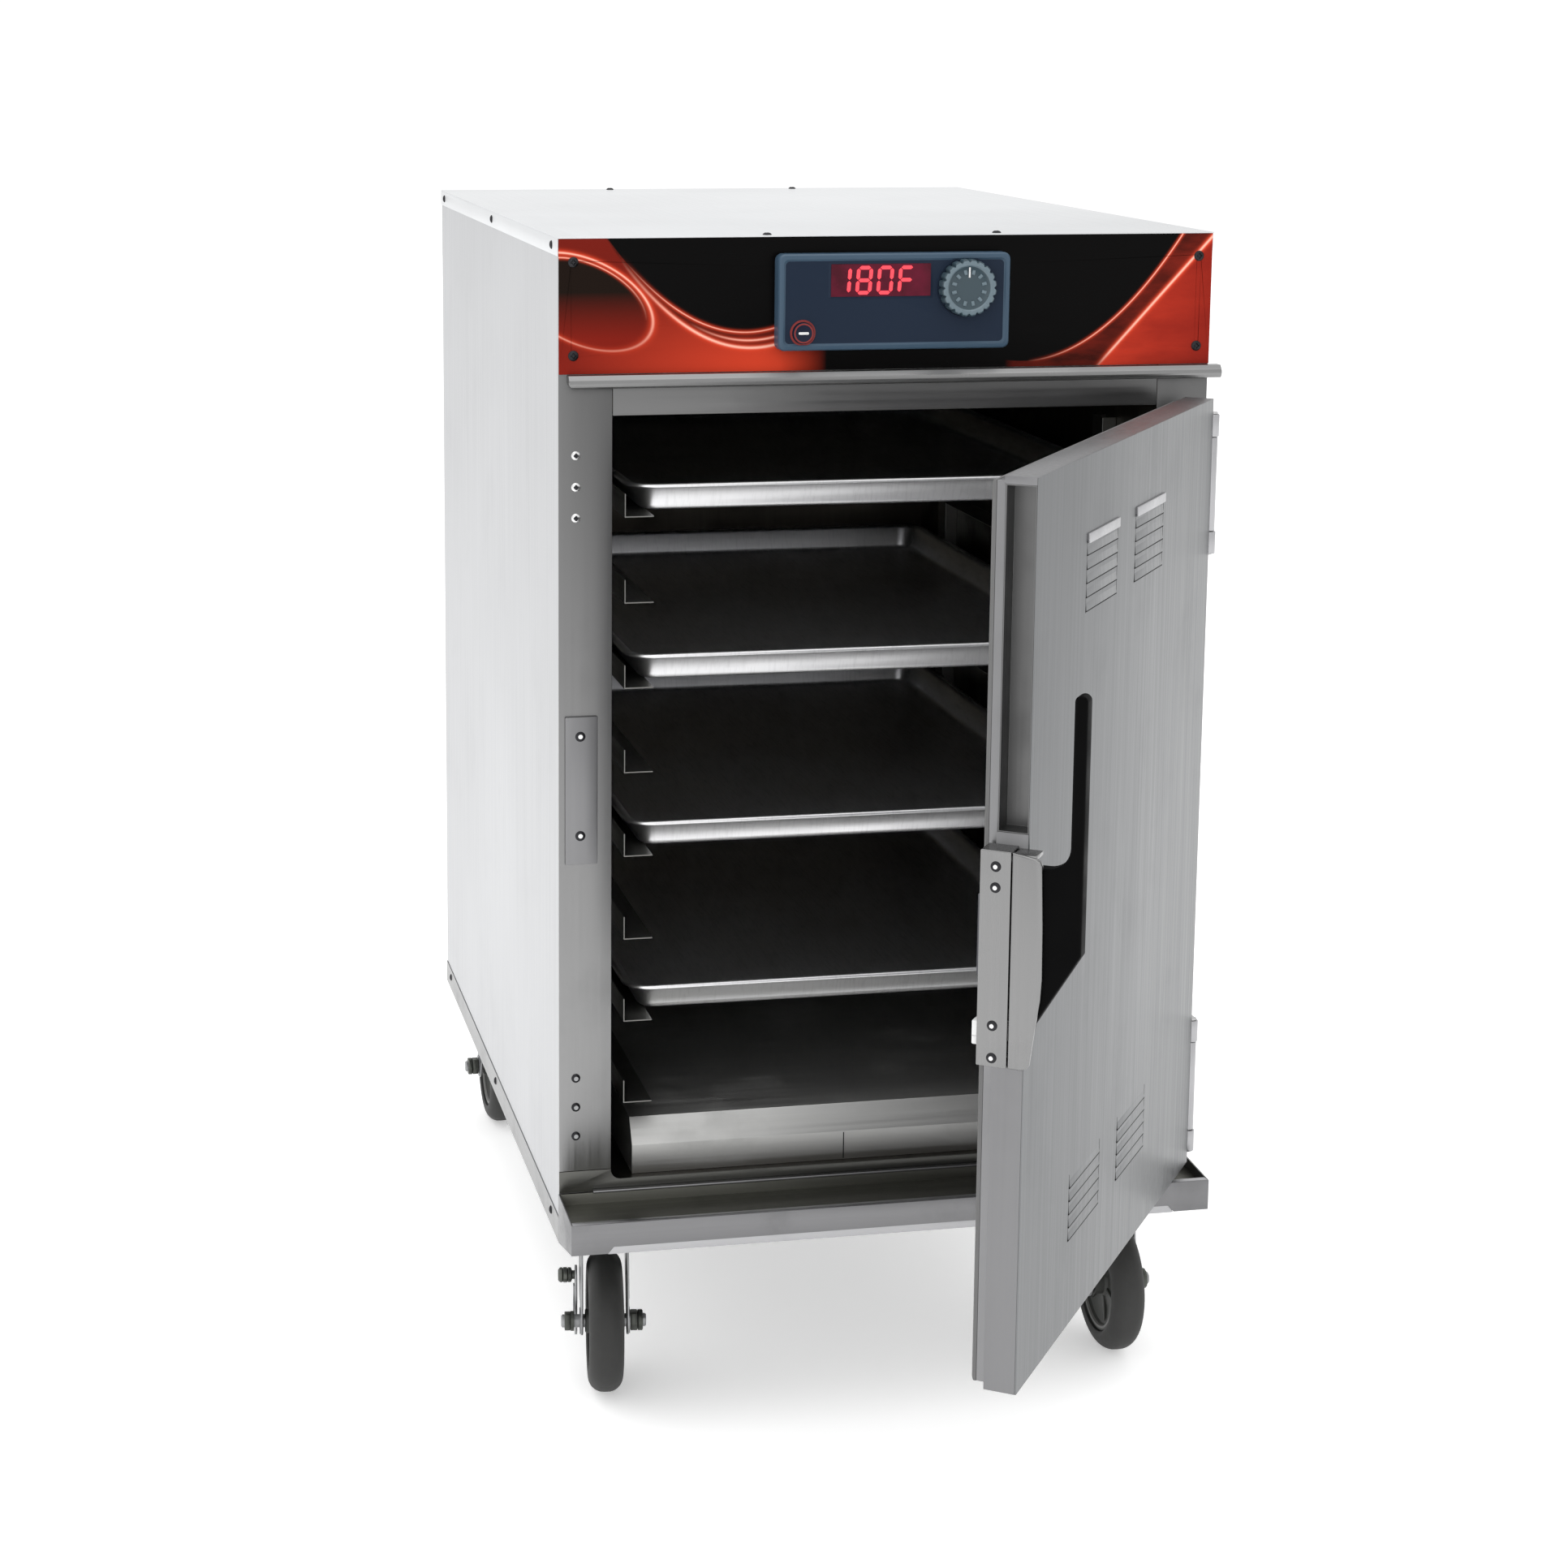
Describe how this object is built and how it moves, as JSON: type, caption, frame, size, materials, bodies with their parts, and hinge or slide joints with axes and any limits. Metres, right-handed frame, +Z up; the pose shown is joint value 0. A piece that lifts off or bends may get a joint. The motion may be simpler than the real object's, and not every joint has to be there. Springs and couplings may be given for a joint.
{
  "type": "food holding cabinet",
  "caption": "Half-height insulated heated holding cabinet on swivel casters, with a hinged door, slides, sheet pans and a digital control.",
  "frame": {"origin": "middle of the floor area that the cabinet covers with its door open at rest, on the floor under the wheels", "axes": "+Z up, +Y towards the back, +X to the right of a person facing the door"},
  "size_m": [0.5988, 1.3281, 1.0599],
  "materials": {
    "shell_steel": "light satin stainless sheet",
    "frame_steel": "brushed stainless",
    "base_steel": "brushed stainless, in shade",
    "liner_steel": "dull, heat-tinted stainless",
    "door_steel": "brushed stainless",
    "slide_steel": "dull stainless",
    "wool": "glass wool",
    "pan_aluminium": "satin",
    "chrome": "satin chrome",
    "fascia_print": "printed overlay with red swooshes",
    "controller_plastic": "dark slate blue",
    "display_red": "dark red window",
    "knob_plastic": "blue-grey",
    "button_plastic": "navy with a red ring",
    "circuit_board": "green board",
    "component_plastic": "grey",
    "handle_plastic": "black grained nylon",
    "seal_rubber": "grey silicone",
    "magnet_iron": "dull",
    "screw_steel": "blackened",
    "element_sheath": "dull sheath",
    "caster_zinc": "zinc plated",
    "core_plastic": "grey nylon",
    "tyre_rubber": "grey-black rubber"
  },
  "bodies": {
    "cabinet": {"base_frame": "base_steel", "front_shelf": "base_steel", "left_side_panel": "shell_steel", "right_side_panel": "shell_steel", "back_panel": "shell_steel", "top_cover": "shell_steel", "front_frame": "frame_steel", "canopy": "frame_steel", "control_fascia": "fascia_print", "compartment_floor": "shell_steel", "cabinet_liner": "liner_steel", "wall_insulation": "wool", "strike_plate": "chrome", "hinge_brackets": "chrome", "hinge_pins": "chrome", "rack_posts": "slide_steel", "pan_slides": "slide_steel", "heater_cover": "frame_steel", "heating_element": "element_sheath", "temperature_probe": "chrome", "controller_housing": "controller_plastic", "display_window": "display_red", "control_board": "circuit_board", "relay_box": "component_plastic", "cord_gland": "component_plastic", "cabinet_screws": "screw_steel", "caster_plates": "caster_zinc", "caster_bolts": "caster_zinc"},
    "door": {"door_shell": "door_steel", "door_liner": "door_steel", "door_insulation": "wool", "door_gasket": "seal_rubber", "door_edge_channel": "frame_steel", "hinge_leaves": "chrome", "latch_body": "chrome", "latch_cover": "chrome", "latch_magnet": "magnet_iron", "latch_pin": "chrome", "door_screws": "screw_steel"},
    "handle": {"latch_handle": "handle_plastic"},
    "knob": {"control_knob": "knob_plastic"},
    "button": {"power_button": "button_plastic"},
    "pan_1": {"sheet_pan_1": "pan_aluminium"},
    "pan_2": {"sheet_pan_2": "pan_aluminium"},
    "pan_3": {"sheet_pan_3": "pan_aluminium"},
    "pan_4": {"sheet_pan_4": "pan_aluminium"},
    "fork_fl": {"caster_fork_fl": "caster_zinc"},
    "roller_fl": {"wheel_fl": "core_plastic", "tyre_fl": "tyre_rubber"},
    "brake_fl": {"brake_lever_fl": "caster_zinc"},
    "fork_fr": {"caster_fork_fr": "caster_zinc"},
    "roller_fr": {"wheel_fr": "core_plastic", "tyre_fr": "tyre_rubber"},
    "brake_fr": {"brake_lever_fr": "caster_zinc"},
    "fork_rl": {"caster_fork_rl": "caster_zinc"},
    "roller_rl": {"wheel_rl": "core_plastic", "tyre_rl": "tyre_rubber"},
    "fork_rr": {"caster_fork_rr": "caster_zinc"},
    "roller_rr": {"wheel_rr": "core_plastic", "tyre_rr": "tyre_rubber"}
  },
  "joints": [
    {"name": "door_swing", "type": "hinge", "parent": "cabinet", "child": "door", "pos_m": [0.2835, -0.1805, 0.56], "axis": [0, 0, 1], "range_deg": [-55, 125]},
    {"name": "handle_pull", "type": "hinge", "parent": "door", "child": "handle", "pos_m": [-0.02697, -0.63087, 0.56], "axis": [0.5736, 0.8192, 0], "range_deg": [0, 12], "stiffness_Nm_per_rad": 3},
    {"name": "knob_turn", "type": "hinge", "parent": "cabinet", "child": "knob", "pos_m": [0.0599, -0.1645, 1.013], "axis": [0, 1, 0], "continuous": true},
    {"name": "button_press", "type": "slide", "parent": "cabinet", "child": "button", "axis": [0, 1, 0], "range_m": [0, 0.0018], "stiffness_N_per_m": 400},
    {"name": "pan_1_slide", "type": "slide", "parent": "cabinet", "child": "pan_1", "axis": [0, -1, 0], "range_m": [0, 0.06]},
    {"name": "pan_2_slide", "type": "slide", "parent": "cabinet", "child": "pan_2", "axis": [0, -1, 0], "range_m": [0, 0.06]},
    {"name": "pan_3_slide", "type": "slide", "parent": "cabinet", "child": "pan_3", "axis": [0, -1, 0], "range_m": [0, 0.06]},
    {"name": "pan_4_slide", "type": "slide", "parent": "cabinet", "child": "pan_4", "axis": [0, -1, 0], "range_m": [0, 0.06]},
    {"name": "swivel_fl", "type": "hinge", "parent": "cabinet", "child": "fork_fl", "pos_m": [-0.2435, -0.0725, 0.15], "axis": [0, 0, 1], "continuous": true},
    {"name": "roll_fl", "type": "hinge", "parent": "fork_fl", "child": "roller_fl", "pos_m": [-0.24879, -0.11013, 0.0635], "axis": [0.9903, -0.1392, 0], "continuous": true},
    {"name": "brake_fl_press", "type": "hinge", "parent": "fork_fl", "child": "brake_fl", "pos_m": [-0.27543, -0.08417, 0.099], "axis": [0.9903, -0.1392, 0], "range_deg": [0, 20]},
    {"name": "swivel_fr", "type": "hinge", "parent": "cabinet", "child": "fork_fr", "pos_m": [0.2385, -0.0725, 0.15], "axis": [0, 0, 1], "continuous": true},
    {"name": "roll_fr", "type": "hinge", "parent": "fork_fr", "child": "roller_fr", "pos_m": [0.2385, -0.1105, 0.0635], "axis": [1, 0, 0], "continuous": true},
    {"name": "brake_fr_press", "type": "hinge", "parent": "fork_fr", "child": "brake_fr", "pos_m": [0.2085, -0.0885, 0.099], "axis": [1, 0, 0], "range_deg": [0, 20]},
    {"name": "swivel_rl", "type": "hinge", "parent": "cabinet", "child": "fork_rl", "pos_m": [-0.2435, 0.5635, 0.15], "axis": [0, 0, 1], "continuous": true},
    {"name": "roll_rl", "type": "hinge", "parent": "fork_rl", "child": "roller_rl", "pos_m": [-0.2435, 0.6015, 0.0635], "axis": [-1, 0, 0], "continuous": true},
    {"name": "swivel_rr", "type": "hinge", "parent": "cabinet", "child": "fork_rr", "pos_m": [0.2385, 0.5635, 0.15], "axis": [0, 0, 1], "continuous": true},
    {"name": "roll_rr", "type": "hinge", "parent": "fork_rr", "child": "roller_rr", "pos_m": [0.2385, 0.6015, 0.0635], "axis": [-1, 0, 0], "continuous": true}
  ]
}
